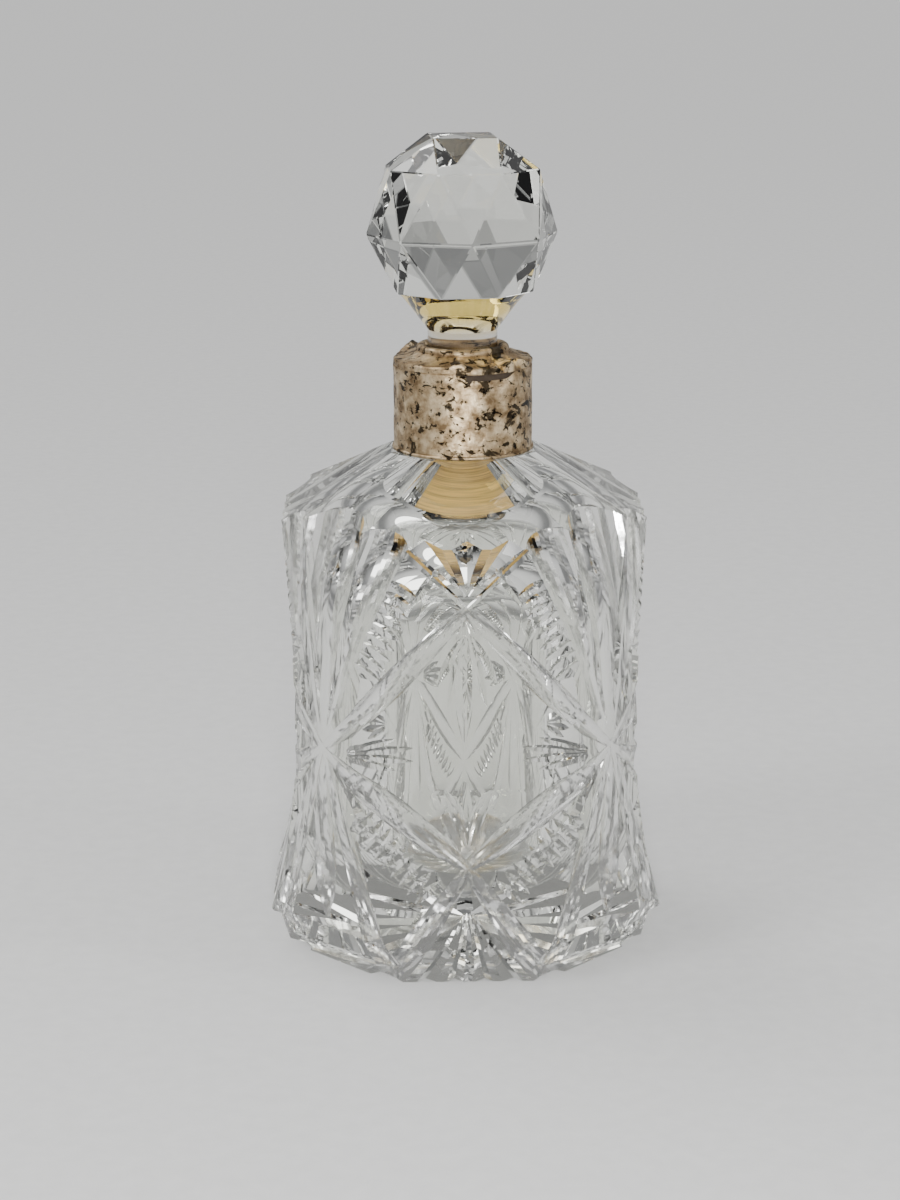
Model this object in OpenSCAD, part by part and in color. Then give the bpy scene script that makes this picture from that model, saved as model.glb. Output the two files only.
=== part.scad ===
// Cut-glass perfume bottle: an eight-sided, waisted glass body, a metal collar
// cemented round its neck, and a faceted ball stopper on a ground taper plug.
// Millimetres, +Z up. The origin is the centre of the underside, and the front face looks to -Y.

/* [Body] */
// Distance from the axis to the four main faces at the shoulder line
body_apothem = 31.3; // [28:0.1:45]
// Height of the shoulder line above the table
body_h = 76; // [62:0.5:100]
// How far the main faces draw in at the waist
waist_draw = 2.1; // [1:0.1:4]
// Height of the waist, where the main faces are closest together
waist_z = 41; // [30:0.5:50]
// How far the base stands out beyond the shoulder line
base_flare = 2.9; // [1:0.1:6]
// How far the corner faces stand out beyond the shoulder line at their fullest
corner_flare = 3.3; // [1:0.1:6]
// Drop from the waist to the height where the corner faces are fullest
corner_drop = 1.5; // [0.5:0.1:8]
// Height of the corner faces' lower end above the top of the bevel
corner_inset = 0.6; // [0.4:0.1:3]
// Height of the corner faces' upper end above the shoulder line
corner_rise = 2; // [1:0.1:3.5]
// Height of the bevel under the widest part of the base
bevel_h = 7; // [4:0.5:10]
// How far the bevel draws the foot in from the widest part
bevel_in = 3; // [1:0.1:6]
// Rise of the sloping shoulder from the shoulder line to the collar
shoulder_rise = 10.6; // [6:0.1:16]

/* [Glass thickness] */
// Thinnest glass between the chamber and a main face
glass_wall = 7.2; // [5.5:0.1:10]
// Thickness of the glass floor
floor_t = 9; // [7:0.5:14]
// Rounding where the chamber's wall meets its floor
floor_round = 12; // [4:0.5:16]
// Rounding where the chamber's wall meets its ceiling
ceiling_round = 14; // [4:0.5:16]
// Drop from the shoulder line to the chamber's ceiling
ceiling_drop = 4; // [2:0.5:12]
// Radius of the conical throat where it opens into the chamber
throat_r = 11; // [8:0.5:14]
// Height of the conical throat over the chamber's ceiling
throat_h = 8; // [3:0.5:10]

/* [Neck and plug] */
// Radius of the glass neck inside the collar
neck_r = 10.4; // [8.6:0.1:11]
// Radius of the stopper's plug at the top of the neck
plug_r = 5.9; // [4.8:0.1:7.1]
// Radius that the ground plug loses in each millimetre of its length
plug_taper = 0.043; // [0.02:0.001:0.06]
// Gap all round between the seated plug and the ground bore
plug_clearance = 0.04; // [0.01:0.01:0.1]
// Height of the plug's lower end above the conical throat
plug_lift = 1; // [0.5:0.5:4]
// Height of the stem's lower end above the glass neck's rim
stem_lift = 0.5; // [0.2:0.1:1.5]

/* [Collar] */
// Outer radius of the metal collar
collar_r = 12; // [11.6:0.1:14.4]
// Height of the collar's straight band
collar_h = 14.6; // [8:0.1:22]
// Thickness of the band's sheet metal
band_t = 0.5; // [0.3:0.05:0.6]
// How far the bead at the band's lower edge stands out
bead_out = 0.3; // [0.1:0.05:0.6]
// Shoulder glass that shows round the collar's lower edge
collar_ledge = 0.4; // [0.4:0.1:2]
// Height of the domed top rim over the band
rim_h = 3.6; // [2.6:0.1:6]
// Thickness of the rim's turned-over edge
rim_edge = 1.3; // [0.8:0.1:2]
// Bevel round the top of the rim's edge
rim_bevel = 0.4; // [0.2:0.1:0.7]
// Radius of the rolled bead round the hole in the rim
rim_roll_r = 0.8; // [0.5:0.05:1]
// Gap all round between the rim's hole and the widest of what passes through it
rim_clearance = 0.4; // [0.3:0.05:1]

/* [Stopper] */
// Radius of the stem that shows between the rim and the ball
stem_r = 6; // [5:0.1:7.4]
// Height of the stem and its flare, from the rim to the ball
stem_h = 9.2; // [8:0.1:12]
// Height of the flare that joins the stem to the ball
flare_h = 6.7; // [2:0.1:7.5]
// Radius of the ball's widest ring of corners
ball_r = 16.4; // [13:0.1:22]
// Height of the ball
ball_h = 26; // [22:0.1:36]
// Height of the ball's widest ring above its underside
belt_h = 9.6; // [6:0.1:14]
// Radius of the ring of corners above the belt
crown_r = 13.6; // [11:0.1:15]
// Drop from the flat table to the crown ring
crown_drop = 5.3; // [3:0.1:8]
// Half the side of the square table on top
table_half = 5.4; // [3:0.1:7]
// Radius of the ring of corners under the ball
under_r = 12.5; // [10:0.1:14]
// Step from the ball's underside in to the flare
flare_step = 0.1; // [0.05:0.05:0.2]
// Turn of the stopper from facing straight forward
stopper_turn = 5; // [0:1:45]

/* [Cutting] */
// Depth of the mitre cuts in the main faces
mitre_depth = 1.1; // [0.5:0.1:2]
// Drop from the shoulder line to where the upper mitres cross
cross_drop = 10.4; // [6:0.1:16]
// Height above the table where the lower mitres cross
cross_low_z = 20.5; // [14:0.1:28]
// Depth of the star cut in the underside
star_depth = 1.1; // [0.5:0.1:2]
// Half the width of each star cut
star_half_w = 1.6; // [0.8:0.1:2.4]
// Number of rays in the star cut
star_rays = 16; // [8:4:24]

/* [Hidden] */
$fn = 96;

// Widths that follow from the driving sizes
waist_apothem = body_apothem - waist_draw;
base_apothem = body_apothem + base_flare;
foot_apothem = base_apothem - bevel_in;
corner_apothem = body_apothem + corner_flare;
ledge_apothem = collar_r + collar_ledge;
chamber_r = waist_apothem - glass_wall;
rim_hole_r = max(plug_r, stem_r) + rim_clearance;
shoulder_slope = shoulder_rise / (body_apothem - ledge_apothem);
cement_r = collar_r - band_t;

// Heights that follow from the driving sizes
neck_base_z = body_h + shoulder_rise;
neck_top_z = neck_base_z + collar_h;
rim_top_z = neck_top_z + rim_h;
ball_base_z = rim_top_z + stem_h;
corner_z = waist_z - corner_drop;
ceiling_z = body_h - ceiling_drop;
throat_top_z = ceiling_z + throat_h;
plug_base_z = throat_top_z + plug_lift;
stem_base_z = neck_top_z + stem_lift;

// Half the length of a slab that reaches past every face of the body
reach = 2 * base_apothem;
// Overlap that carries a cut cleanly past a surface
past = 1;

// Radius of an arc that leaves the waist upright and has moved out by out at a height of rise
function arc_radius(rise, out) = (rise * rise + out * out) / (2 * out);

upper_arc_r = arc_radius(body_h - waist_z, waist_draw);
lower_arc_r = arc_radius(waist_z - bevel_h, waist_draw + base_flare);

// Distance from the axis to a main face at height z
function main_face_at(z) =
    let (arc = z > waist_z ? upper_arc_r : lower_arc_r)
    waist_apothem + arc - sqrt(arc * arc - (z - waist_z) * (z - waist_z));

// Radius of the plug's taper at height z
function plug_r_at(z) = plug_r - plug_taper * (neck_top_z - z);

// Corners at even steps round the axis
function ring(count, radius, z, start) =
    [for (k = [0 : count - 1]) let (a = start + k * 360 / count) [radius * cos(a), radius * sin(a), z]];

// ---------- glass body ----------

// Half of a corner slab's upright outline, straight from break to break
module corner_half_outline() {
    polygon([
        [0, 0], [foot_apothem, 0], [base_apothem, bevel_h + corner_inset],
        [corner_apothem, corner_z], [body_apothem, body_h + corner_rise],
        [ledge_apothem, neck_base_z], [0, neck_base_z]
    ]);
}

// The space beyond one arc of a main face's hollow, above or below the waist
module beyond_arc(radius, low_z, high_z) {
    intersection() {
        translate([waist_apothem + radius, waist_z])
            circle(r = radius, $fn = 360);
        translate([waist_apothem - past, low_z])
            square([reach, high_z - low_z]);
    }
}

// Half of a main slab's upright outline: the bevel and the shoulder slope run on
// outwards, and two arcs that meet upright at the waist cut them off
module main_half_outline() {
    outer = base_apothem + 2 * past;
    difference() {
        polygon([
            [0, 0], [foot_apothem, 0],
            [outer, bevel_h + 2 * past * bevel_h / bevel_in],
            [outer, body_h - (outer - body_apothem) * shoulder_slope],
            [ledge_apothem, neck_base_z], [0, neck_base_z]
        ]);
        beyond_arc(upper_arc_r, waist_z, neck_base_z);
        beyond_arc(lower_arc_r, 0, waist_z);
    }
}

// A slab with its two opposite faces across X, cut to the outline given as a child
module slab() {
    rotate([90, 0, 0])
        linear_extrude(height = 2 * reach, center = true)
            union() {
                children();
                mirror([1, 0, 0]) children();
            }
}

// Eight-sided waisted solid: the space that four slabs share
module waisted_block() {
    intersection() {
        slab() main_half_outline();
        rotate(90) slab() main_half_outline();
        rotate(45) slab() corner_half_outline();
        rotate(-45) slab() corner_half_outline();
    }
}

// Chamber with rounded floor and ceiling and a conical throat over it, as half of its upright section
module chamber_section() {
    polygon([
        [0, ceiling_z - past], [throat_r, ceiling_z - past],
        [plug_r_at(throat_top_z), throat_top_z], [0, throat_top_z]
    ]);
    intersection() {
        union() {
            translate([0, floor_t])
                square([chamber_r - floor_round, floor_round]);
            translate([chamber_r - floor_round, floor_t + floor_round])
                circle(r = floor_round);
            translate([0, floor_t + floor_round])
                square([chamber_r, ceiling_z - ceiling_round - floor_t - floor_round]);
            translate([chamber_r - ceiling_round, ceiling_z - ceiling_round])
                circle(r = ceiling_round);
            translate([0, ceiling_z - ceiling_round])
                square([chamber_r - ceiling_round, ceiling_round]);
        }
        square([chamber_r, ceiling_z]);
    }
}

// Ground bore: the plug's own taper with the clearance all round
module ground_bore() {
    low_z = throat_top_z - past;
    high_z = neck_top_z + past;
    translate([0, 0, low_z])
        cylinder(
            h = high_z - low_z,
            r1 = plug_r_at(low_z) + plug_clearance,
            r2 = plug_r_at(high_z) + plug_clearance
        );
}

// Right-angled V cut along the line from p to q, open towards -Y
module mitre(p, q) {
    run = q - p;
    length = norm(run);
    size = mitre_depth + 3 * past;
    translate(p)
        rotate([0, -atan2(run.z, run.x), 0])
            rotate([0, 0, asin(run.y / length)])
                rotate([90, 0, 90])
                    linear_extrude(height = length)
                        polygon([[0, 0], [-size, -size], [-size, size]]);
}

// Point at the bottom of a mitre on the front face
function mitre_point(x, z) = [x, mitre_depth - main_face_at(z), z];

// Diamond of four mitres on the front face, from one corner column to the other
module diamond_cuts() {
    column_x = corner_apothem / sqrt(2);
    for (side = [-1, 1]) {
        mitre(mitre_point(side * column_x, waist_z), mitre_point(0, body_h - cross_drop));
        mitre(mitre_point(side * column_x, waist_z), mitre_point(0, cross_low_z));
    }
}

// Star of V cuts across the underside, two rays to a cut
module star_cuts() {
    for (k = [0 : star_rays / 2 - 1])
        rotate(k * 360 / star_rays)
            rotate([90, 0, 90])
                linear_extrude(height = 2 * reach, center = true)
                    polygon([[-star_half_w, 0], [0, star_depth], [star_half_w, 0], [0, -past]]);
}

module body() {
    color([0.82, 0.86, 0.86, 0.45])
        difference() {
            union() {
                waisted_block();
                translate([0, 0, neck_base_z - past])
                    cylinder(h = collar_h + past, r = neck_r);
            }
            rotate_extrude()
                chamber_section();
            ground_bore();
            for (face = [0 : 3])
                rotate(face * 90) diamond_cuts();
            star_cuts();
        }
}

// ---------- stopper ----------

// Ball from its underside up: under ring, belt, crown and a square table
module faceted_ball() {
    points = concat(
        ring(4, table_half * sqrt(2), ball_h, 45),
        ring(8, crown_r, ball_h - crown_drop, 22.5),
        ring(8, ball_r, belt_h, 0),
        ring(8, under_r, 0, 22.5)
    );
    crown = 4;
    belt = 12;
    under = 20;
    faces = concat(
        [[3, 2, 1, 0]],
        [for (k = [0 : 3]) [k, crown + 2 * k + 1, crown + 2 * k]],
        [for (k = [0 : 3]) [k, (k + 1) % 4, crown + (2 * k + 2) % 8, crown + 2 * k + 1]],
        [for (k = [0 : 7]) [crown + k, belt + (k + 1) % 8, belt + k]],
        [for (k = [0 : 7]) [crown + k, crown + (k + 1) % 8, belt + (k + 1) % 8]],
        [for (k = [0 : 7]) [belt + k, belt + (k + 1) % 8, under + k]],
        [for (k = [0 : 7]) [belt + (k + 1) % 8, under + (k + 1) % 8, under + k]],
        [[for (k = [0 : 7]) under + k]]
    );
    polyhedron(points = points, faces = faces);
}

// Stem with a conical flare under the ball, as half of its upright section
module stem_section() {
    flare_out = under_r * cos(22.5) - stem_r - flare_step;
    polygon([
        [0, stem_base_z], [stem_r, stem_base_z], [stem_r, ball_base_z - flare_h],
        [stem_r + flare_out, ball_base_z], [0, ball_base_z]
    ]);
}

module stopper() {
    color([0.86, 0.88, 0.85, 0.5])
        rotate(stopper_turn) {
            translate([0, 0, ball_base_z])
                faceted_ball();
            rotate_extrude() stem_section();
            translate([0, 0, plug_base_z])
                cylinder(
                    h = stem_base_z - plug_base_z,
                    r1 = plug_r_at(plug_base_z),
                    r2 = plug_r_at(stem_base_z)
                );
        }
}

// ---------- collar ----------

module collar_band() {
    color([0.66, 0.62, 0.55])
        translate([0, 0, neck_base_z])
            difference() {
                union() {
                    cylinder(h = collar_h, r = collar_r);
                    cylinder(h = 2 * bead_out, r = collar_r + bead_out);
                }
                translate([0, 0, -past])
                    cylinder(h = collar_h + 2 * past, r = cement_r);
            }
}

// Rim: turned-over edge, low dome and a rolled bead round the hole
module collar_rim() {
    color([0.70, 0.65, 0.57])
        rotate_extrude()
            union() {
                polygon([
                    [rim_hole_r, neck_top_z], [collar_r, neck_top_z],
                    [collar_r, neck_top_z + rim_edge - rim_bevel],
                    [collar_r - rim_bevel, neck_top_z + rim_edge],
                    [rim_hole_r + rim_roll_r, rim_top_z - rim_roll_r], [rim_hole_r, rim_top_z - rim_roll_r]
                ]);
                translate([rim_hole_r + rim_roll_r, rim_top_z - rim_roll_r])
                    circle(r = rim_roll_r);
            }
}

// Plaster that fills the gap between the neck and the band
module collar_cement() {
    color([0.78, 0.70, 0.55])
        translate([0, 0, neck_base_z])
            difference() {
                cylinder(h = collar_h, r = cement_r);
                translate([0, 0, -past])
                    cylinder(h = collar_h + 2 * past, r = neck_r);
            }
}

body();
stopper();
collar_band();
collar_rim();
collar_cement();
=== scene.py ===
"""Looks of a cut-glass perfume bottle: glass body with its cut pattern, ball stopper, silver collar.

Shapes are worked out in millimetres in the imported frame's own axes, and turned into metres when a
piece is made. The front face looks to -Y. The cut pattern is written once, for the front face and
one corner face, and repeated at each quarter turn.
"""

import math

import bmesh
import bpy
from mathutils import Matrix, Vector, noise


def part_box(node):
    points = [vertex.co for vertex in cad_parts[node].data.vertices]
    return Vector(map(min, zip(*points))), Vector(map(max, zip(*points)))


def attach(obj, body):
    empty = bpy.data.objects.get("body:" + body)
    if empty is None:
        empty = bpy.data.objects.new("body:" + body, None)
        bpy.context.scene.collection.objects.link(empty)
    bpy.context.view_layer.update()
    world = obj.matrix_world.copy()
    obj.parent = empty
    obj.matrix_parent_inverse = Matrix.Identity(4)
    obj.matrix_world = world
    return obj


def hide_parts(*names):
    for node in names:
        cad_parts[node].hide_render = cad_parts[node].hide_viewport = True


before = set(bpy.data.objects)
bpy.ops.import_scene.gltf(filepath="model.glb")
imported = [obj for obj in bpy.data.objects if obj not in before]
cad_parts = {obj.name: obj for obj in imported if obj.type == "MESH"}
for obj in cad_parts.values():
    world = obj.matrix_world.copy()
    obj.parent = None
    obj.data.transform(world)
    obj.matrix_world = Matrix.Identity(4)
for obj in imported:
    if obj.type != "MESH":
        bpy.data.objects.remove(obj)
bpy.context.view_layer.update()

MM = 0.001
SQRT2 = math.sqrt(2)
QUARTERS = [math.radians(90 * k) for k in range(4)]


def box_mm(node):
    """Lowest and highest corner of a CAD node, in millimetres."""
    low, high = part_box(node)
    return low / MM, high / MM


# ---------- sizes that come from the frame ----------

BODY_HIGH = box_mm("body")[1]
BAND_LOW, BAND_HIGH = box_mm("collar_band")
RIM_HIGH = box_mm("collar_rim")[1]
STOP_LOW, STOP_HIGH = box_mm("stopper")

BASE_OUT = BODY_HIGH.x
NECK_BASE = BAND_LOW.z
NECK_TOP = BODY_HIGH.z
BAND_R = RIM_HIGH.x
BEAD_OUT = BAND_HIGH.x - BAND_R
RIM_TOP = RIM_HIGH.z
PLUG_BASE = STOP_LOW.z
STOP_TOP = STOP_HIGH.z

# ---------- sizes of the glass body, as in the design ----------

# Outer faces: distances from the axis, and the heights where they break or bend
SHOULDER_Z = 76.0
SHOULDER_OUT = BASE_OUT - 2.9
WAIST_Z = 41.0
WAIST_OUT = SHOULDER_OUT - 2.1
BEVEL_Z = 7.0
FOOT_OUT = BASE_OUT - 3.0
CORNER_LOW_Z = BEVEL_Z + 0.6
CORNER_MID_Z = 39.5
CORNER_OUT = SHOULDER_OUT + 3.3
CORNER_TOP_Z = SHOULDER_Z + 2.0
LEDGE_OUT = 12.4

# Neck, chamber, conical throat and ground bore
NECK_R = 10.4
CHAMBER_R = WAIST_OUT - 7.2
FLOOR_Z = 9.0
FLOOR_ROUND = 12.0
CEILING_Z = 72.0
CEILING_ROUND = 14.0
THROAT_R = 11.0
THROAT_TOP = 80.0
PLUG_R = 5.9
PLUG_TAPER = 0.043
PLUG_GAP = 0.04

# Height of the amber film painted on the chamber's floor to give the base amber glints, and half the
# stained part of the throat in degrees
AMBER_FILM_Z = 11.5
STAIN_HALF = 52

# Cut pattern: the stars on the corners, the two crossings on a main face, and the height above the
# shoulder where the cuts that scallop it run out of the glass
STAR_X = CORNER_OUT / SQRT2
STAR_Z = 40.0
CROSS_HIGH_Z = 65.6
CROSS_LOW_Z = 20.5
EXIT_Z = 81.5

# Star under the base
BASE_STAR_RAYS = 16
BASE_STAR_DEPTH = 1.1
BASE_STAR_HALF = 1.6

# ---------- sizes of the stopper, as in the design ----------

STEM_R = 6.0
STEM_BASE = NECK_TOP + 0.5
FLARE_H = 6.7
BALL_BASE = 114.0
UNDER_R = 12.5
BELT_H = 9.6
BALL_R = 16.4
CROWN_R = 13.6
CROWN_DROP = 5.3
TABLE_HALF = 5.4
ARRIS = 0.15
STOPPER_TURN = 5

# ---------- sizes of the collar, as in the design, and azimuths of its damage in degrees ----------

BAND_T = 0.5
RIM_EDGE = 1.3
ROLL_R = 0.8
RIM_HOLE = 6.4
TEAR_AT = -95
CRACK_AT = -86
SPLIT_AT = -66
LIP_AT = -46
LUMP_AT = 142

# ---------- camera and light ----------

CAMERA_PLACE = (-9.29, -444.47, 179.85)
CAMERA_DOWN, CAMERA_ROLL, CAMERA_PAN = 0.2654, 0.0044, -0.0168
LENS, SENSOR = 78.41, 36
FLOOR_HALF = 6
FLOOR_GLOW = 0.3
SUN_STRENGTH = 1.0

GLASS_IOR = 1.54
BLACK, WHITE = (0, 0, 0), (1, 1, 1)

# Places of the materials in the list of the glass body, and in the list of the stopper
GLASS, GROUND, AMBER_FILM, CUT = range(4)
BALL, PLUG, STEM = range(3)


def plug_r(z):
    """Radius of the plug at height z."""
    return PLUG_R - PLUG_TAPER * (NECK_TOP - z)


def bore_r(z):
    """Radius of the ground bore at height z."""
    return plug_r(z) + PLUG_GAP


def arc_radius(rise, out):
    """Radius of an arc that starts upright and moves out by out over a height of rise."""
    return (rise * rise + out * out) / (2 * out)


UPPER_ARC = arc_radius(SHOULDER_Z - WAIST_Z, SHOULDER_OUT - WAIST_OUT)
LOWER_ARC = arc_radius(WAIST_Z - BEVEL_Z, BASE_OUT - WAIST_OUT)


def along(points, z):
    """Value at height z on the broken line through (z, value) points."""
    for (z0, v0), (z1, v1) in zip(points, points[1:]):
        if z <= z1:
            break
    return v0 + (v1 - v0) * (z - z0) / (z1 - z0)


def main_out(z):
    """Distance from the axis to a main face at height z."""
    if z < BEVEL_Z:
        return along([(0, FOOT_OUT), (BEVEL_Z, BASE_OUT)], z)
    if z > SHOULDER_Z:
        return along([(SHOULDER_Z, SHOULDER_OUT), (NECK_BASE, LEDGE_OUT)], z)
    arc = UPPER_ARC if z > WAIST_Z else LOWER_ARC
    return WAIST_OUT + arc - math.sqrt(arc * arc - (z - WAIST_Z) ** 2)


def corner_out(z):
    """Distance from the axis to a corner face at height z."""
    return along([(0, FOOT_OUT), (CORNER_LOW_Z, BASE_OUT), (CORNER_MID_Z, CORNER_OUT),
                  (CORNER_TOP_Z, SHOULDER_OUT), (NECK_BASE, LEDGE_OUT)], z)


# ---------- small mesh helpers ----------

def strip(bm, lower, upper):
    """Faces between two rings of vertices."""
    count = len(lower)
    faces = []
    for k in range(count):
        nxt = (k + 1) % count
        faces.append(bm.faces.new((lower[k], lower[nxt], upper[nxt], upper[k])))
    return faces


def round_ring(bm, radius, z, steps):
    """Vertices at even steps round the axis."""
    turns = [2 * math.pi * k / steps for k in range(steps)]
    return [bm.verts.new((radius * math.cos(turn), radius * math.sin(turn), z)) for turn in turns]


def skin_rings(bm, rings, material=0):
    """Closed solid from rings of points: strips between them and a cap at each end."""
    made = [[bm.verts.new(p) for p in ring] for ring in rings]
    faces = []
    for lower, upper in zip(made, made[1:]):
        faces += strip(bm, lower, upper)
    faces.append(bm.faces.new(made[0][::-1]))
    faces.append(bm.faces.new(made[-1]))
    for face in faces:
        face.material_index = material


def lathe(bm, profile, steps=128, material=lambda z, turn: 0):
    """Solid of revolution from a profile of (radius, z) points whose ends lie on the axis.

    The material index is a function of height and of azimuth in degrees.
    """
    low_z, high_z = profile[0][1], profile[-1][1]
    low, high = bm.verts.new((0, 0, low_z)), bm.verts.new((0, 0, high_z))
    rings = [round_ring(bm, radius, z, steps) for radius, z in profile[1:-1]]
    for k in range(steps):
        nxt = (k + 1) % steps
        turn = 360 * (k + 0.5) / steps
        bm.faces.new((low, rings[0][nxt], rings[0][k])).material_index = material(low_z, turn)
        for (lower, upper), (_, z0), (_, z1) in zip(zip(rings, rings[1:]), profile[1:], profile[2:]):
            face = bm.faces.new((lower[k], lower[nxt], upper[nxt], upper[k]))
            face.material_index = material((z0 + z1) / 2, turn)
        bm.faces.new((rings[-1][k], rings[-1][nxt], high)).material_index = material(high_z, turn)


def lathe_ring(bm, outer, inner, steps):
    """Closed ring wall between an outer and an inner profile of (radius, z) points."""
    rings = [round_ring(bm, radius, z, steps) for radius, z in outer + inner[::-1]]
    for lower, upper in zip(rings, rings[1:] + rings[:1]):
        strip(bm, lower, upper)


def arc_points(centre, radius, start, end, count):
    """Points (radius, z) on an arc between two angles in degrees."""
    points = []
    for k in range(count + 1):
        turn = math.radians(start + (end - start) * k / count)
        points.append((centre[0] + radius * math.cos(turn), centre[1] + radius * math.sin(turn)))
    return points


def to_object(name, bm):
    """Object from a bmesh, linked to the scene."""
    bmesh.ops.recalc_face_normals(bm, faces=bm.faces[:])
    mesh = bpy.data.meshes.new(name)
    bm.to_mesh(mesh)
    bm.free()
    made = bpy.data.objects.new(name, mesh)
    bpy.context.scene.collection.objects.link(made)
    return made


def combine(target, operation, tools):
    """Replaces target's mesh by its boolean with all the objects in the list tools."""
    group = bpy.data.collections.new("tools")
    bpy.context.scene.collection.children.link(group)
    for tool in tools:
        group.objects.link(tool)
    step = target.modifiers.new("cut", "BOOLEAN")
    step.operation = operation
    step.solver = "MANIFOLD"
    step.operand_type = "COLLECTION"
    step.collection = group
    graph = bpy.context.evaluated_depsgraph_get()
    result = bpy.data.meshes.new_from_object(target.evaluated_get(graph))
    target.modifiers.clear()
    old = target.data
    target.data = result
    bpy.data.meshes.remove(old)
    for tool in tools:
        spent = tool.data
        bpy.data.objects.remove(tool)
        bpy.data.meshes.remove(spent)
    bpy.data.collections.remove(group)


def finish_piece(target, name, body, node, materials, sharp_degrees=7):
    """Scales a piece to metres, and gives it its materials, smooth shading, body and CAD node."""
    target.name = name
    mesh = target.data
    mesh.name = name
    mesh.transform(Matrix.Scale(MM, 4))
    chosen = [polygon.material_index for polygon in mesh.polygons]
    mesh.materials.clear()
    for material in materials:
        mesh.materials.append(material)
    mesh.polygons.foreach_set("material_index", chosen)
    mesh.shade_smooth()
    mesh.set_sharp_from_angle(angle=math.radians(sharp_degrees))
    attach(target, body)
    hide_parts(node)


# ---------- materials ----------

class Tree:
    """Node tree, with short ways to add the nodes that the looks share."""

    def __init__(self, tree):
        self.nodes, self.links = tree.nodes, tree.links

    def feed(self, node, **values):
        """Sets a node's inputs by name, each to a fixed value or to another node's output."""
        for key, value in values.items():
            socket = node.inputs[key.replace("_", " ").title()]
            if isinstance(value, bpy.types.NodeSocket):
                self.links.new(value, socket)
            else:
                socket.default_value = value

    def add(self, kind, **values):
        """Adds a node and sets its inputs by name."""
        node = self.nodes.new(kind)
        self.feed(node, **values)
        return node

    def noise(self, coords, **values):
        """Noise from 0 to 1."""
        return self.add("ShaderNodeTexNoise", vector=coords, **values).outputs["Fac"]

    def stretched(self, coords, scale):
        """Coordinates scaled along each axis."""
        return self.add("ShaderNodeMapping", vector=coords, scale=scale).outputs["Vector"]

    def height(self, coords):
        """The Z of coordinates."""
        return self.add("ShaderNodeSeparateXYZ", vector=coords).outputs["Z"]

    def mapped(self, value, start, stop, low=0, high=1):
        """The value mapped so that start becomes low and stop becomes high, and held there beyond."""
        limits = {"from_min": start, "from_max": stop, "to_min": low, "to_max": high}
        return self.add("ShaderNodeMapRange", value=value, **limits).outputs["Result"]

    def ramp(self, value, *stops):
        """Colour looked up along (place, colour) stops."""
        node = self.add("ShaderNodeValToRGB", fac=value)
        elements = node.color_ramp.elements
        while len(elements) < len(stops):
            elements.new(0.5)
        for element, (place, colour) in zip(elements, stops):
            element.position = place
            element.color = (*colour, 1)
        return node.outputs["Color"]

    def plus_share(self, value, extra, share):
        """The value plus a share of another one."""
        node = self.nodes.new("ShaderNodeMath")
        node.operation = "MULTIPLY_ADD"
        self.links.new(extra, node.inputs[0])
        node.inputs[1].default_value = share
        self.links.new(value, node.inputs[2])
        return node.outputs["Value"]

    def darkened(self, colour, mask, share):
        """Colour multiplied by a mask, by a share from 0 to 1."""
        node = self.nodes.new("ShaderNodeMix")
        node.data_type, node.blend_type = "RGBA", "MULTIPLY"
        self.feed(node, factor=share)
        # A Mix node's colours are its inputs 6 and 7 and its output 2
        self.links.new(colour, node.inputs[6])
        self.links.new(mask, node.inputs[7])
        return node.outputs[2]

    def bump(self, height, strength, distance, **under):
        """Normal with relief from a height, laid over the normal under it if one is given."""
        node = self.add("ShaderNodeBump", height=height, strength=strength, distance=distance, **under)
        return node.outputs["Normal"]


class Look(Tree):
    """A material while it is made: its node tree, its shader and the coordinates on the piece."""

    def __init__(self, name):
        self.material = bpy.data.materials.new(name)
        self.material.use_nodes = True
        super().__init__(self.material.node_tree)
        self.shader = self.nodes["Principled BSDF"]
        self.coords = self.nodes.new("ShaderNodeTexCoord").outputs["Object"]

    def done(self, **values):
        """Sets the shader's inputs by name, and gives the finished material."""
        self.feed(self.shader, **values)
        return self.material


def glass_look(name, clearness=1):
    """Start of every glass, which lets a share of the light through."""
    look = Look(name)
    look.shader.inputs["IOR"].default_value = GLASS_IOR
    look.shader.inputs["Transmission Weight"].default_value = clearness
    return look


def crystal(name):
    """Clear lead glass with faint smears from handling, and a slight olive tint in its depth."""
    look = glass_look(name)
    clouds = look.noise(look.coords, scale=55, detail=4)
    ripple = look.noise(look.coords, scale=180, detail=2)
    tint = (0.935, 0.945, 0.895)
    deeper = tuple(c * 0.975 for c in tint)
    return look.done(
        base_color=look.ramp(clouds, (0.3, tint), (0.8, deeper)),
        roughness=look.mapped(clouds, 0.5, 0.8, 0.004, 0.035),
        normal=look.bump(ripple, strength=0.02, distance=0.0002),
    )


def wheel_cut_glass(name):
    """Broad hollow cuts: not quite polished, with fine marks from the wheel."""
    look = glass_look(name)
    marks = look.noise(look.coords, scale=900, detail=3)
    return look.done(
        base_color=look.ramp(marks, (0.3, (0.955, 0.96, 0.93)), (0.7, (0.985, 0.985, 0.97))),
        roughness=look.mapped(marks, 0.3, 0.7, 0.05, 0.15),
    )


def ground_glass(name, light, dark, clearness):
    """Ground glass with fine turning marks, in a colour that goes from dark to light along them."""
    look = glass_look(name, clearness)
    lines = look.noise(look.stretched(look.coords, (90, 90, 3200)), scale=1, detail=4)
    return look.done(
        base_color=look.ramp(lines, (0.3, dark), (0.62, light)),
        roughness=0.45,
        normal=look.bump(lines, strength=0.15, distance=0.0001),
    )


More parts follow.
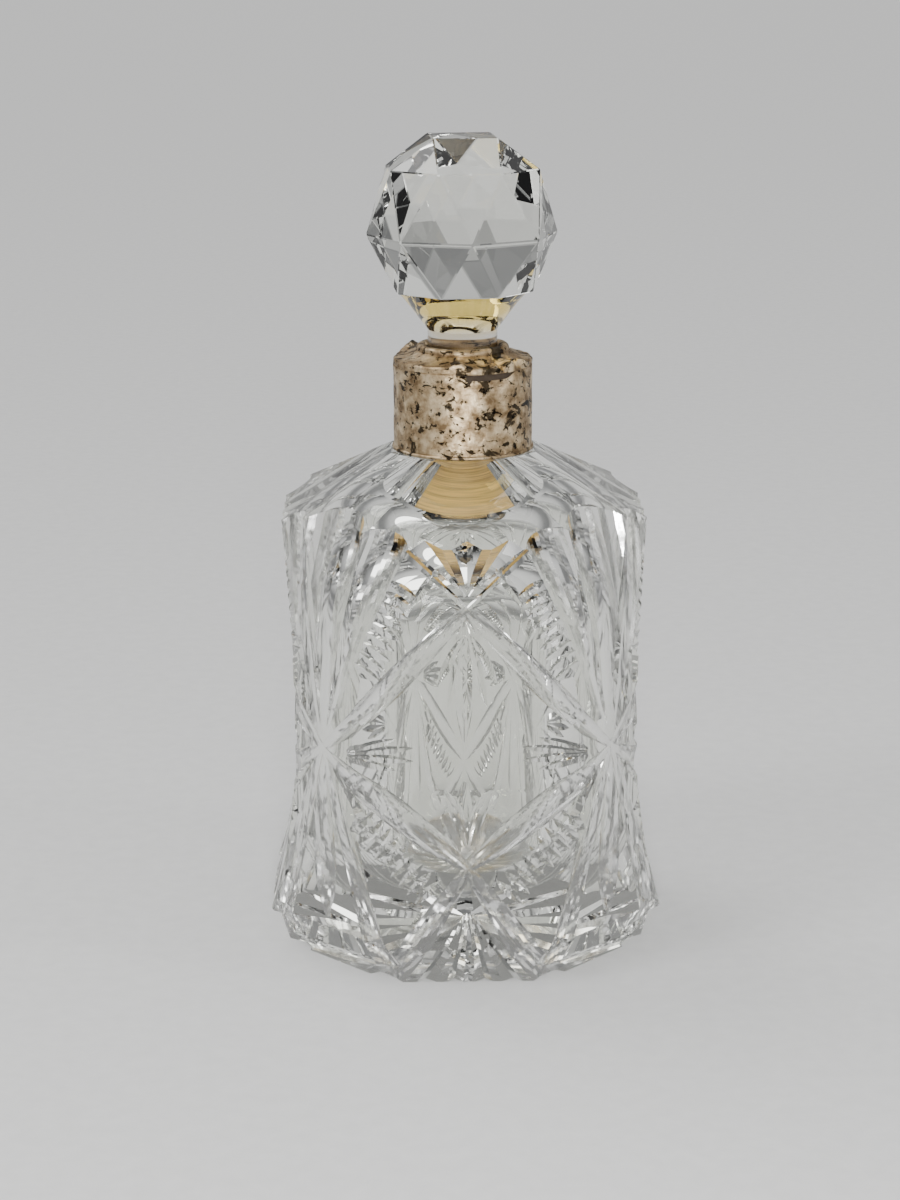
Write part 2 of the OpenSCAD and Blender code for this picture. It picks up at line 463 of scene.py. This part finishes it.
def gold_painted_glass(name):
    """Clear glass with a painted golden reflection of the bore, strongest under the ball and fading down
    the stem.
    """
    look = glass_look(name)
    # Painted reflection: gold put into the glass where the flare would show the stained bore below it
    height = look.mapped(look.height(look.coords), (BALL_BASE - 8.5) * MM, (BALL_BASE + 0.5) * MM)
    clouds = look.noise(look.coords, scale=260, detail=4)
    clear, gold, amber = (0.88, 0.84, 0.76), (0.92, 0.68, 0.24), (0.90, 0.52, 0.04)
    gold_share = look.plus_share(height, clouds, 0.5)
    return look.done(
        base_color=look.ramp(gold_share, (0.3, clear), (0.55, gold), (0.85, amber)),
        roughness=0.03,
    )


def amber_film_glass(name):
    """Chamber floor with a thin amber film, thicker in patches, painted to give the base its amber
    glints.
    """
    look = glass_look(name)
    # Painted glints: amber patches on the chamber's floor, which show as amber glints at the base
    patches = look.noise(look.coords, scale=90, detail=5)
    return look.done(
        base_color=look.ramp(patches, (0.45, (0.985, 0.975, 0.94)), (0.68, (0.92, 0.66, 0.28))),
        roughness=look.mapped(patches, 0, 1, 0.02, 0.3),
    )


def spots(look, scale, start, stop, stretch=(1, 1, 1)):
    """Mask that is black inside noise spots of a given scale and white outside them."""
    coords = look.stretched(look.coords, stretch)
    field = look.noise(coords, scale=scale, detail=6, roughness=0.6, distortion=0.6)
    return look.ramp(field, (start, BLACK), (stop, WHITE))


def tarnished_silver(name):
    """Worn silver: warm tarnish, brown clouds, black patches and pits, fine pitted surface."""
    look = Look(name)
    clouds = look.noise(look.coords, scale=420, detail=8, roughness=0.62)
    brown, tarnish, bright = (0.16, 0.105, 0.055), (0.38, 0.28, 0.165), (0.66, 0.53, 0.35)
    silver = look.ramp(clouds, (0.36, brown), (0.50, tarnish), (0.66, bright))
    patches = spots(look, 240, 0.40, 0.43)
    pits = spots(look, 640, 0.41, 0.435, (1, 1, 1.4))
    patched = look.darkened(silver, patches, 0.88)
    dents = look.bump(clouds, strength=0.5, distance=0.0005)
    return look.done(
        base_color=look.darkened(patched, pits, 0.92),
        metallic=1,
        roughness=look.mapped(clouds, 0.35, 0.65, 0.56, 0.36),
        normal=look.bump(pits, strength=0.6, distance=0.00012, normal=dents),
    )


def plaster(name):
    """Tan grainy plaster, painted black near the top as the shade inside the split under the rim."""
    look = Look(name)
    grain = look.noise(look.coords, scale=700, detail=6)
    tan = look.ramp(grain, (0.3, (0.42, 0.30, 0.16)), (0.7, (0.72, 0.58, 0.38)))
    # Painted shade: the plaster fades to near black between 4 and 3 mm under the top of the neck, as
    # shade in the split
    height = look.mapped(look.height(look.coords), (NECK_TOP - 4) * MM, (NECK_TOP - 3) * MM)
    gap_shade = look.ramp(height, (0, WHITE), (1, (0.06, 0.05, 0.045)))
    return look.done(
        base_color=look.darkened(tan, gap_shade, 1),
        roughness=0.9,
        normal=look.bump(grain, strength=0.6, distance=0.0003),
    )


def floor_paper(name):
    """Matt pale paper of the studio floor, which glows a little so that the base isn't black."""
    look = Look(name)
    fibre = look.noise(look.coords, scale=300, detail=3)
    paper = look.ramp(fibre, (0.3, (0.50, 0.50, 0.495)), (0.7, (0.53, 0.53, 0.525)))
    return look.done(base_color=paper, roughness=0.85, emission_color=paper, emission_strength=FLOOR_GLOW)


# ---------- glass body ----------

def octagon(z):
    """The eight corners of the body at height z."""
    main, corner = main_out(z), corner_out(z)
    half = corner * SQRT2 - main
    points = []
    for turn in QUARTERS:
        spin = Matrix.Rotation(turn, 3, "Z")
        points += [spin @ Vector((-half, -main, z)), spin @ Vector((half, -main, z))]
    return points


def body_block():
    """Solid eight-sided block, with close rows where the main faces curve."""
    curved_rows = 44
    rows = [0.0, BEVEL_Z, CORNER_LOW_Z]
    for k in range(1, curved_rows):
        rows.append(CORNER_LOW_Z + (SHOULDER_Z - CORNER_LOW_Z) * k / curved_rows)
    rows += [CORNER_MID_Z, WAIST_Z, SHOULDER_Z, CORNER_TOP_Z, NECK_BASE]
    bm = bmesh.new()
    skin_rings(bm, [octagon(z) for z in sorted(rows)])
    return to_object("body_block", bm)


def neck_stub():
    """Glass neck inside the collar, let 1 mm into the block."""
    bm = bmesh.new()
    lathe(bm, [(0, NECK_BASE - 1), (NECK_R, NECK_BASE - 1), (NECK_R, NECK_TOP), (0, NECK_TOP)])
    return to_object("neck_stub", bm)


def cavity_material(z, turn):
    """Ground all round the bore, stained on the front of the throat, with the painted amber film at the
    chamber's floor.
    """
    front = 270
    if z > THROAT_TOP:
        return GROUND
    if z > CEILING_Z and abs(turn - front) < STAIN_HALF:
        return GROUND
    return AMBER_FILM if z < AMBER_FILM_Z else GLASS


def cavity():
    """Chamber, conical throat and ground bore."""
    profile = [(0, FLOOR_Z), (CHAMBER_R - FLOOR_ROUND, FLOOR_Z)]
    profile += arc_points((CHAMBER_R - FLOOR_ROUND, FLOOR_Z + FLOOR_ROUND), FLOOR_ROUND, -90, 0, 24)
    ceiling = arc_points((CHAMBER_R - CEILING_ROUND, CEILING_Z - CEILING_ROUND), CEILING_ROUND, 0, 90, 28)
    profile += [point for point in ceiling if point[0] > THROAT_R + 0.2]
    profile += [(THROAT_R, CEILING_Z - 0.4), (bore_r(THROAT_TOP), THROAT_TOP)]
    profile += [(bore_r(NECK_TOP + 1), NECK_TOP + 1), (0, NECK_TOP + 1)]
    bm = bmesh.new()
    lathe(bm, profile, material=cavity_material)
    return to_object("cavity", bm)


class Side:
    """One upright side of the body, with the neighbouring faces eased into it at its two edges."""

    def __init__(self, own, other, turn):
        self.own, self.other = own, other
        self.spin = Matrix.Rotation(turn, 3, "Z")

    def out(self, x, z, ease=0.7):
        """Distance of the outer surface at x across and z up, running on upright over the shoulder."""
        z = min(z, SHOULDER_Z)
        a, b = self.own(z), self.other(z) * SQRT2 - abs(x)
        low = min(a, b)
        return low - ease * math.log(math.exp((low - a) / ease) + math.exp((low - b) / ease))

    def place(self, x, z):
        """Surface point and its outward normal."""
        step = 0.05
        across = (self.out(x + step, z) - self.out(x - step, z)) / (2 * step)
        up = (self.out(x, z + step) - self.out(x, z - step)) / (2 * step)
        point = Vector((x, -self.out(x, z), z))
        return self.spin @ point, self.spin @ Vector((-across, -1, -up)).normalized()


def lens(t):
    """Bulge that is 0 at both ends and 1 in the middle."""
    return 1 - (2 * t - 1) ** 2


class Cut:
    """One wheel cut: a row of cross-sections along a path on a side.

    The path goes from start to end, given across and up, and bends sideways by bow. The width and
    the plunge, which is extra depth, are functions of the share of the way. A round tool has a
    tool_r, and a V cut has a slope, which is its depth for each millimetre of half its width.
    """

    round_steps = 40
    row_gap = 1.2
    lift = 2.5

    def __init__(self, start, end, width, tool_r=None, slope=0.8, plunge=None, bow=0.0):
        self.start, self.end, self.width = Vector(start), Vector(end), width
        self.tool_r, self.slope, self.plunge, self.bow = tool_r, slope, plunge, bow

    def path(self, t):
        """Point of the path, across and up."""
        run = self.end - self.start
        sideways = Vector((-run.y, run.x)).normalized() * self.bow * lens(t)
        return self.start + run * t + sideways

    def depth(self, t):
        """Depth under the surface that gives the cut its width."""
        half = max(self.width(t), 0) / 2
        if self.tool_r:
            deep = self.tool_r - math.sqrt(max(self.tool_r ** 2 - half ** 2, 0))
        else:
            deep = half * self.slope
        return deep + (self.plunge(t) if self.plunge else 0)

    def section(self, centre, normal, across, depth):
        """Cross-section: a round tool's circle, or a V with its top lifted above the glass."""
        if self.tool_r:
            middle = centre + normal * (self.tool_r - depth)
            ring = []
            for k in range(self.round_steps):
                turn = 2 * math.pi * k / self.round_steps
                ring.append(middle + (across * math.cos(turn) + normal * math.sin(turn)) * self.tool_r)
            return ring
        half = (depth + self.lift) / self.slope
        top = centre + normal * self.lift
        return [centre - normal * depth, top + across * half, top - across * half]

    def solid(self, side):
        """The tool's whole sweep, as an object to cut with."""
        count = max(6, round((self.end - self.start).length / self.row_gap))
        rings = []
        for k in range(count + 1):
            t = k / count
            before, after = self.path(max(t - 0.01, 0)), self.path(min(t + 0.01, 1))
            point, normal = side.place(*self.path(t))
            tangent = (side.place(*after)[0] - side.place(*before)[0]).normalized()
            across = tangent.cross(normal).normalized()
            normal = across.cross(tangent).normalized()
            rings.append(self.section(point, normal, across, self.depth(t)))
        bm = bmesh.new()
        skin_rings(bm, rings, CUT if self.tool_r else GLASS)
        return to_object("cutter", bm)


def band(ends, middle):
    """Width that swells from one value at both ends to another in the middle."""
    return lambda t: ends + (middle - ends) * lens(t)


def wedge(start, end, power=1.0):
    """Width that grows from one value to another."""
    return lambda t: start + (end - start) * t ** power


def dive(start, rate):
    """Extra depth that sets in at a share of the way and grows from there."""
    return lambda t: rate * max(0.0, t - start) ** 1.5


def mirrored(cuts):
    """A list of cuts and their mirror images across the side's centre line."""
    flipped = []
    for cut in cuts:
        a, b = Vector((-cut.start.x, cut.start.y)), Vector((-cut.end.x, cut.end.y))
        flipped.append(Cut(a, b, cut.width, cut.tool_r, cut.slope, cut.plunge, -cut.bow))
    return cuts + flipped


def diamond():
    """Broad hollow arms from each star to the two crossings, and what runs on past them."""
    star = (STAR_X, STAR_Z)
    arms = [Cut(star, (-0.4, CROSS_HIGH_Z + 0.4), band(1.2, 4.4), tool_r=2.5),
            Cut(star, (-0.4, CROSS_LOW_Z - 0.4), band(1.2, 4.8), tool_r=2.7)]
    onward = [Cut((0, CROSS_HIGH_Z), (16.0, EXIT_Z), wedge(0.8, 1.8)),
              Cut((-0.6, CROSS_LOW_Z + 0.6), (15.4, -1.5), wedge(1.4, 6.6, 0.8), tool_r=3.9)]
    return mirrored(arms + onward)


def crossing_fan():
    """V cuts that spread from above the upper crossing and plunge into the shoulder."""
    plunge = dive(start=0.2, rate=2.2)
    long_ray = Cut((0.3, CROSS_HIGH_Z + 2.2), (10.0, EXIT_Z), wedge(0.4, 4.4), plunge=plunge)
    middle = Cut((0, CROSS_HIGH_Z + 3.0), (0, EXIT_Z), wedge(0.3, 5.4), slope=0.6, plunge=plunge)
    tick = Cut((4.2, 73.4), (9.3, 66.0), band(0.1, 1.7))
    return mirrored([long_ray, tick]) + [middle]


def ladder(start, end, rungs, length, lean):
    """Row of short V cuts between two points, each leaning by an angle in degrees."""
    a, b = Vector(start), Vector(end)
    reach = Vector((math.cos(math.radians(lean)), math.sin(math.radians(lean)))) * length / 2
    cuts = []
    for k in range(rungs):
        centre = a.lerp(b, k / (rungs - 1))
        cuts.append(Cut(centre - reach, centre + reach, band(0.15, 1.6), slope=0.95))
    return cuts


def ladders():
    """Ladders above and below the diamond, on both sides."""
    upper = ladder((10.6, 69.2), (16.6, 54.5), rungs=9, length=5.6, lean=35)
    lower = ladder((17.8, 28.5), (6.9, 16.5), rungs=9, length=5.6, lean=-42)
    return mirrored(upper + lower)


def rays(centre, start_angle, end_angle, inner, lengths, width):
    """Fan of pointed V cuts round a centre, at even steps between two angles in degrees."""
    cuts = []
    for k, length in enumerate(lengths):
        turn = math.radians(start_angle + (end_angle - start_angle) * k / (len(lengths) - 1))
        way = Vector((math.cos(turn), math.sin(turn)))
        tip = Vector(centre) + way * (inner + length)
        cuts.append(Cut(Vector(centre) + way * inner, tip, band(0.12, width)))
    return cuts


def inner_fans():
    """Four small fans that point into the diamond from its corners."""
    top = rays((0, 62.6), -116, -64, inner=2.0, lengths=[9.5, 12.5, 15, 12.5, 9.5], width=1.7)
    right = rays((21.6, 40.2), 164, 196, inner=1.5, lengths=[8.5, 11, 11, 8.5], width=1.6)
    petal = Cut((0.2, 24), (3.9, 33.8), band(0.3, 2.6), tool_r=1.6, bow=0.6)
    stalk = Cut((0, 24.5), (0, 35), band(0.2, 1.7))
    return mirrored(right + [petal]) + top + [stalk]


def slivers():
    """Long thin V cuts beside the legs."""
    return mirrored([Cut((23.0, 37.5), (14.4, 25.5), band(0.15, 1.6)),
                     Cut((22.6, 35.0), (17.4, 9.5), band(0.15, 1.7)),
                     Cut((22.3, 39.0), (11.5, 26.5), band(0.1, 1.0))])


def base_notches():
    """V cuts that spread down over the bevel and leave teeth along the foot."""
    cuts = []
    for foot_x, wide in ((-6.2, 3.4), (-2.0, 3.0), (2.4, 3.0), (6.6, 3.4)):
        cuts.append(Cut((foot_x * 0.12, 13.0), (foot_x * 1.25, -1.5), wedge(0.2, wide, 0.9), slope=0.9))
    return cuts


def arch_width(t):
    """Width of the pointed arch under a star, which widens downwards and closes at the foot."""
    return 7.5 * math.sqrt(max(t, 0)) * (1 - t ** 5)


def corner_flutes():
    """Pointed hollows from the star up over the shoulder, and the legs down to the base."""
    plunge = dive(start=0.45, rate=5.5)
    middle = Cut((0, STAR_Z + 1.5), (0, EXIT_Z), wedge(0.2, 12.4), tool_r=8, plunge=plunge)
    edge = Cut((0.5, STAR_Z + 0.8), (13.2, EXIT_Z), wedge(0.2, 9.0), tool_r=5.5, plunge=plunge)
    vein = Cut((0.8, STAR_Z + 4), (6.3, 73.5), band(0.15, 1.6))
    leg = Cut((0.2, STAR_Z), (13.2, 2.0), wedge(1.0, 5.6, 0.7), tool_r=3.1)
    arch = Cut((0, STAR_Z - 3), (0, 9.0), arch_width, tool_r=5.0)
    return mirrored([edge, vein, leg]) + [middle, arch]


def base_star():
    """Sixteen-ray star cut in the underside, two rays to a cut that grows shallow at both ends."""
    reach, below = 36, 1
    tools = []
    for k in range(BASE_STAR_RAYS // 2):
        spin = Matrix.Rotation(2 * math.pi * k / BASE_STAR_RAYS, 3, "Z")
        rings = []
        for x in (-reach, -30, -18, 0, 18, 30, reach):
            depth = BASE_STAR_DEPTH * (1 - (x / reach) ** 2) + 0.02
            half = BASE_STAR_HALF * depth / BASE_STAR_DEPTH
            wide = half + below * half / depth
            corners = ((x, -wide, -below), (x, wide, -below), (x, 0, depth))
            rings.append([spin @ Vector(c) for c in corners])
        bm = bmesh.new()
        skin_rings(bm, rings)
        tools.append(to_object("star_ray", bm))
    return tools


def glass_body(materials):
    """Block and neck, less every cut of the pattern at each quarter turn, and less the cavity."""
    body = body_block()
    combine(body, "UNION", [neck_stub()])
    tools = base_star()
    for turn in QUARTERS:
        front = Side(main_out, corner_out, turn)
        corner = Side(corner_out, main_out, turn + math.radians(45))
        for cut in diamond() + crossing_fan() + ladders() + inner_fans() + slivers() + base_notches():
            tools.append(cut.solid(front))
        for cut in corner_flutes():
            tools.append(cut.solid(corner))
    combine(body, "DIFFERENCE", tools)
    combine(body, "DIFFERENCE", [cavity()])
    finish_piece(body, "bottle_glass", "bottle", "body", materials)


# ---------- stopper ----------

def corner_ring(count, radius, z, start):
    """Corners of the ball at even steps round the axis, from a start in degrees."""
    points = []
    for k in range(count):
        turn = math.radians(start + 360 / count * k)
        points.append(Vector((radius * math.cos(turn), radius * math.sin(turn), z)))
    return points


def stopper_ball():
    """Faceted ball: square table, crown, belt and under rings, with narrow polished arrises."""
    bm = bmesh.new()
    points = corner_ring(4, TABLE_HALF * SQRT2, STOP_TOP, 45)
    points += corner_ring(8, CROWN_R, STOP_TOP - CROWN_DROP, 22.5)
    points += corner_ring(8, BALL_R, BALL_BASE + BELT_H, 0)
    points += corner_ring(8, UNDER_R, BALL_BASE, 22.5)
    for point in points:
        bm.verts.new(point)
    bmesh.ops.convex_hull(bm, input=bm.verts[:])
    bmesh.ops.dissolve_limit(bm, angle_limit=math.radians(1), verts=bm.verts[:], edges=bm.edges[:])
    bmesh.ops.bevel(bm, geom=bm.edges[:], offset=ARRIS, segments=1, affect="EDGES")
    return to_object("stopper_ball", bm)


def stem_material(z, turn):
    """Ground plug, and a stem and flare with a painted golden reflection."""
    return PLUG if z < STEM_BASE + 0.6 else STEM


def stopper_stem():
    """Ground plug, round stem, and the conical flare up to the ball with a slight hollow."""
    flare_out = UNDER_R * math.cos(math.radians(22.5)) - STEM_R - 0.1
    chamfer, flare_rows = 0.4, 12
    profile = [(0, PLUG_BASE), (plug_r(PLUG_BASE) - chamfer, PLUG_BASE),
               (plug_r(PLUG_BASE), PLUG_BASE + chamfer), (plug_r(STEM_BASE), STEM_BASE),
               (STEM_R, STEM_BASE), (STEM_R, STEM_BASE + 2.0)]
    for k in range(flare_rows + 1):
        t = k / flare_rows
        hollow = 0.35 * lens(t)
        profile.append((STEM_R + flare_out * t - hollow * t, BALL_BASE - FLARE_H * (1 - t)))
    profile += [(STEM_R + flare_out, BALL_BASE + 0.5), (0, BALL_BASE + 0.5)]
    bm = bmesh.new()
    lathe(bm, profile, material=stem_material)
    return to_object("stopper_stem", bm)


def glass_stopper(materials):
    """Ball and stem in one piece, turned as the bottle was seen."""
    stopper = stopper_ball()
    combine(stopper, "UNION", [stopper_stem()])
    stopper.data.transform(Matrix.Rotation(math.radians(STOPPER_TURN), 4, "Z"))
    finish_piece(stopper, "stopper_glass", "stopper", "stopper", materials)


# ---------- collar ----------

def degrees_off(turn, centre):
    """Signed degrees from a centre azimuth to a turn in radians."""
    return (math.degrees(turn) - centre + 180) % 360 - 180


def bump_at(turn, centre, width):
    """Bell that is 1 at the centre azimuth, and fades over the width in degrees."""
    return math.exp(-(degrees_off(turn, centre) / width) ** 2)


def split_at(turn):
    """Window that is 1 along the split under the lip, with soft ends."""
    return 1 / (1 + math.exp((abs(degrees_off(turn, SPLIT_AT)) - 19) / 1.5))


def wrinkle(co, size, seed):
    """Signed noise of about the given size in millimetres."""
    return noise.noise(Vector((co.x / size + seed, co.y / size, co.z / size)))


def band_rise(co):
    """Share of the band's height, from 0 at its lower edge to 1 at its upper edge."""
    return (co.z - NECK_BASE) / (NECK_TOP - NECK_BASE)


def dent_band(co):
    """Moves a point of the band's outer skin: shallow dents, and pressed in at the split."""
    turn = math.atan2(co.y, co.x)
    pull = 0.10 * wrinkle(co, 3.2, 3) + 0.16 * max(0, wrinkle(co, 6.0, 9))
    pull += 0.35 * split_at(turn) * max(0, (band_rise(co) - 0.85) / 0.15)
    way = co.xy.normalized() * min(pull, 0.4)
    return Vector((co.x - way.x, co.y - way.y, co.z))


def open_split(co):
    """Lowers the band's upper edge along the split, and further at the crack."""
    turn = math.atan2(co.y, co.x)
    near_top = max(0, (band_rise(co) - 0.75) / 0.25) ** 1.5
    drop = (1.1 * split_at(turn) + 1.5 * bump_at(turn, CRACK_AT, 1.9)) * near_top
    return Vector((co.x, co.y, co.z - drop))


def collar_band(material):
    """Thin sleeve with a bead at its lower edge and shallow dents."""
    bead_steps, rows = 8, 30
    skin, bead_z, straight_z = BAND_R - 0.04, NECK_BASE + 0.35, NECK_BASE + 0.8
    outer = []
    for k in range(bead_steps + 1):
        turn = math.radians(-90 + 180 / bead_steps * k)
        outer.append((BAND_R + BEAD_OUT * math.cos(turn) - 0.05, bead_z + 0.33 * math.sin(turn)))
    for k in range(rows + 1):
        outer.append((skin, straight_z + (NECK_TOP - straight_z) * k / rows))
    inner = [(BAND_R - BAND_T, z) for _, z in outer]
    bm = bmesh.new()
    lathe_ring(bm, outer, inner, 240)
    for vert in bm.verts:
        if vert.co.z > NECK_BASE + 0.75 and vert.co.xy.length > BAND_R - BAND_T + 0.1:
            vert.co = dent_band(vert.co)
        if vert.co.z > NECK_BASE + 2:
            vert.co = open_split(vert.co)
    piece = to_object("collar_band", bm)
    finish_piece(piece, "collar_sleeve", "bottle", "collar_band", [material], 30)


def crumple_rim(co):
    """Moves a point of the rim: folds along the edge, worst where it was bent over, and a torn corner."""
    turn = math.atan2(co.y, co.x)
    edge = max(0.0, min(1.0, (co.xy.length - RIM_HOLE - 1.6) / 3.0))
    bent = bump_at(turn, LIP_AT, 26) + 0.8 * bump_at(turn, LUMP_AT, 14) + 0.25
    fold = math.sin(turn * 21 + 2 * wrinkle(co, 4, 1)) * bump_at(turn, LIP_AT, 28)
    lift = edge * bent * (0.6 * wrinkle(co, 1.7, 5) + 0.5 * fold)
    out = edge * bent * (0.45 * wrinkle(co, 1.4, 8) + 0.2 * fold - 0.05)
    lift += edge * (0.9 * bump_at(turn, TEAR_AT, 6) + 1.4 * bump_at(turn, LUMP_AT, 11))
    way = co.xy.normalized() * max(-0.6, min(out, 0.12))
    lowest, highest = NECK_TOP + 0.02, RIM_TOP - 0.05
    return Vector((co.x + way.x, co.y + way.y, min(max(co.z + lift, lowest), highest)))


def rim_outline():
    """Upper outline of the rim: turned-over edge, sagging dome and the rolled bead round the hole."""
    foot, edge_z = (BAND_R - 0.15, NECK_TOP), NECK_TOP + RIM_EDGE
    outline = [foot]
    outline += [(BAND_R - 0.02, NECK_TOP + 0.2 + (RIM_EDGE - 0.6) * k / 4) for k in range(5)]
    outline += [(BAND_R - 0.2, edge_z - 0.12), (BAND_R - 0.6, edge_z)]
    roll = (RIM_HOLE + ROLL_R, RIM_TOP - ROLL_R)
    start, end = outline[-1], (roll[0] + ROLL_R * 0.9, roll[1] - ROLL_R * 0.35)
    dome_rows = 18
    for k in range(1, dome_rows + 1):
        t = k / dome_rows
        sag = 0.25 * math.sin(math.pi * t)
        outline.append((start[0] + (end[0] - start[0]) * t, start[1] + (end[1] - start[1]) * t - sag))
    return outline + arc_points(roll, ROLL_R, 0, 180, 16)


def collar_rim(material):
    """Domed rim with a rolled bead round its hole, crumpled along its outer edge."""
    outer = rim_outline()
    foot_r, last = outer[0][0], len(outer) - 1
    inner = [(foot_r - (foot_r - RIM_HOLE) * k / last, NECK_TOP) for k in range(last + 1)]
    bm = bmesh.new()
    lathe_ring(bm, outer, inner, 360)
    for vert in bm.verts:
        if vert.co.z > NECK_TOP + 0.1:
            vert.co = crumple_rim(vert.co)
    piece = to_object("collar_rim", bm)
    finish_piece(piece, "collar_top", "bottle", "collar_rim", [material], 30)


def collar_cement(material):
    """Plaster ring between the neck and the band."""
    gap = 0.02
    low_z, high_z = NECK_BASE + 0.05, NECK_TOP - 0.05
    outer = [(BAND_R - BAND_T - gap, low_z), (BAND_R - BAND_T - gap, high_z)]
    inner = [(NECK_R + gap, low_z), (NECK_R + gap, high_z)]
    bm = bmesh.new()
    lathe_ring(bm, outer, inner, 128)
    piece = to_object("collar_cement", bm)
    finish_piece(piece, "collar_plaster", "bottle", "collar_cement", [material], 30)


# ---------- stage ----------

def make_camera():
    """Camera at the height, distance and tilt from which the bottle was seen."""
    data = bpy.data.cameras.new("camera")
    data.lens = LENS
    data.sensor_width = SENSOR
    camera = bpy.data.objects.new("camera", data)
    camera.location = Vector(CAMERA_PLACE) * MM
    camera.rotation_euler = (math.pi / 2 - CAMERA_DOWN, CAMERA_ROLL, CAMERA_PAN)
    bpy.context.scene.collection.objects.link(camera)
    bpy.context.scene.camera = camera


def make_floor():
    """Wide plain floor."""
    bm = bmesh.new()
    bmesh.ops.create_grid(bm, x_segments=2, y_segments=2, size=FLOOR_HALF)
    floor = to_object("floor", bm)
    floor.data.materials.append(floor_paper("floor_paper"))


def studio_world():
    """Soft surroundings: pale at the horizon, a dark band above it, and bright overhead."""
    world = bpy.data.worlds.new("studio")
    world.use_nodes = True
    tree = Tree(world.node_tree)
    height = tree.height(tree.nodes.new("ShaderNodeTexCoord").outputs["Generated"])
    sky = tree.ramp(height, (0.08, (0.42, 0.42, 0.42)), (0.12, (0.17, 0.172, 0.178)),
                    (0.30, (0.22, 0.222, 0.228)), (0.5, (0.72, 0.72, 0.73)), (0.9, (1.05, 1.05, 1.05)))
    tree.feed(tree.nodes["Background"], color=sky, strength=1.0)
    bpy.context.scene.world = world


def add_light(name, data):
    """Object for a light, linked to the scene."""
    light = bpy.data.objects.new(name, data)
    bpy.context.scene.collection.objects.link(light)
    return light


def overhead_sun():
    """Very soft light from above, partly from the left and from behind."""
    data = bpy.data.lights.new("overhead", "SUN")
    data.energy = SUN_STRENGTH
    data.angle = math.radians(35)
    add_light("overhead", data).rotation_euler = (math.radians(-24), math.radians(-30), 0)


def soft_light(name, place, size, watts):
    """Rectangular soft light, in metres, aimed at the middle of the bottle."""
    data = bpy.data.lights.new(name, "AREA")
    data.shape = "RECTANGLE"
    data.size, data.size_y = size
    data.energy = watts
    light = add_light(name, data)
    light.location = place
    light.rotation_euler = (Vector((0, 0, 0.07)) - Vector(place)).to_track_quat("-Z", "Y").to_euler()


make_camera()
make_floor()
studio_world()
overhead_sun()
soft_light("key", (-0.55, -0.35, 0.65), size=(0.25, 0.4), watts=3)
soft_light("fill", (0.7, -0.25, 0.35), size=(0.12, 0.6), watts=1.6)
soft_light("front", (-0.004, -0.42, 0.13), size=(0.03, 0.03), watts=1.6)

clear = crystal("crystal_glass")
ground = ground_glass("stained_ground_glass", (0.86, 0.55, 0.13), (0.40, 0.22, 0.05), 0.15)
ground_plug = ground_glass("ground_plug_glass", (0.93, 0.91, 0.84), (0.80, 0.74, 0.58), 0.7)
silver = tarnished_silver("tarnished_silver")
glass_body([clear, ground, amber_film_glass("amber_film_glass"), wheel_cut_glass("wheel_cut_glass")])
glass_stopper([crystal("stopper_glass_clear"), ground_plug, gold_painted_glass("stem_glass_painted_gold")])
collar_band(silver)
collar_rim(silver)
collar_cement(plaster("tan_plaster"))
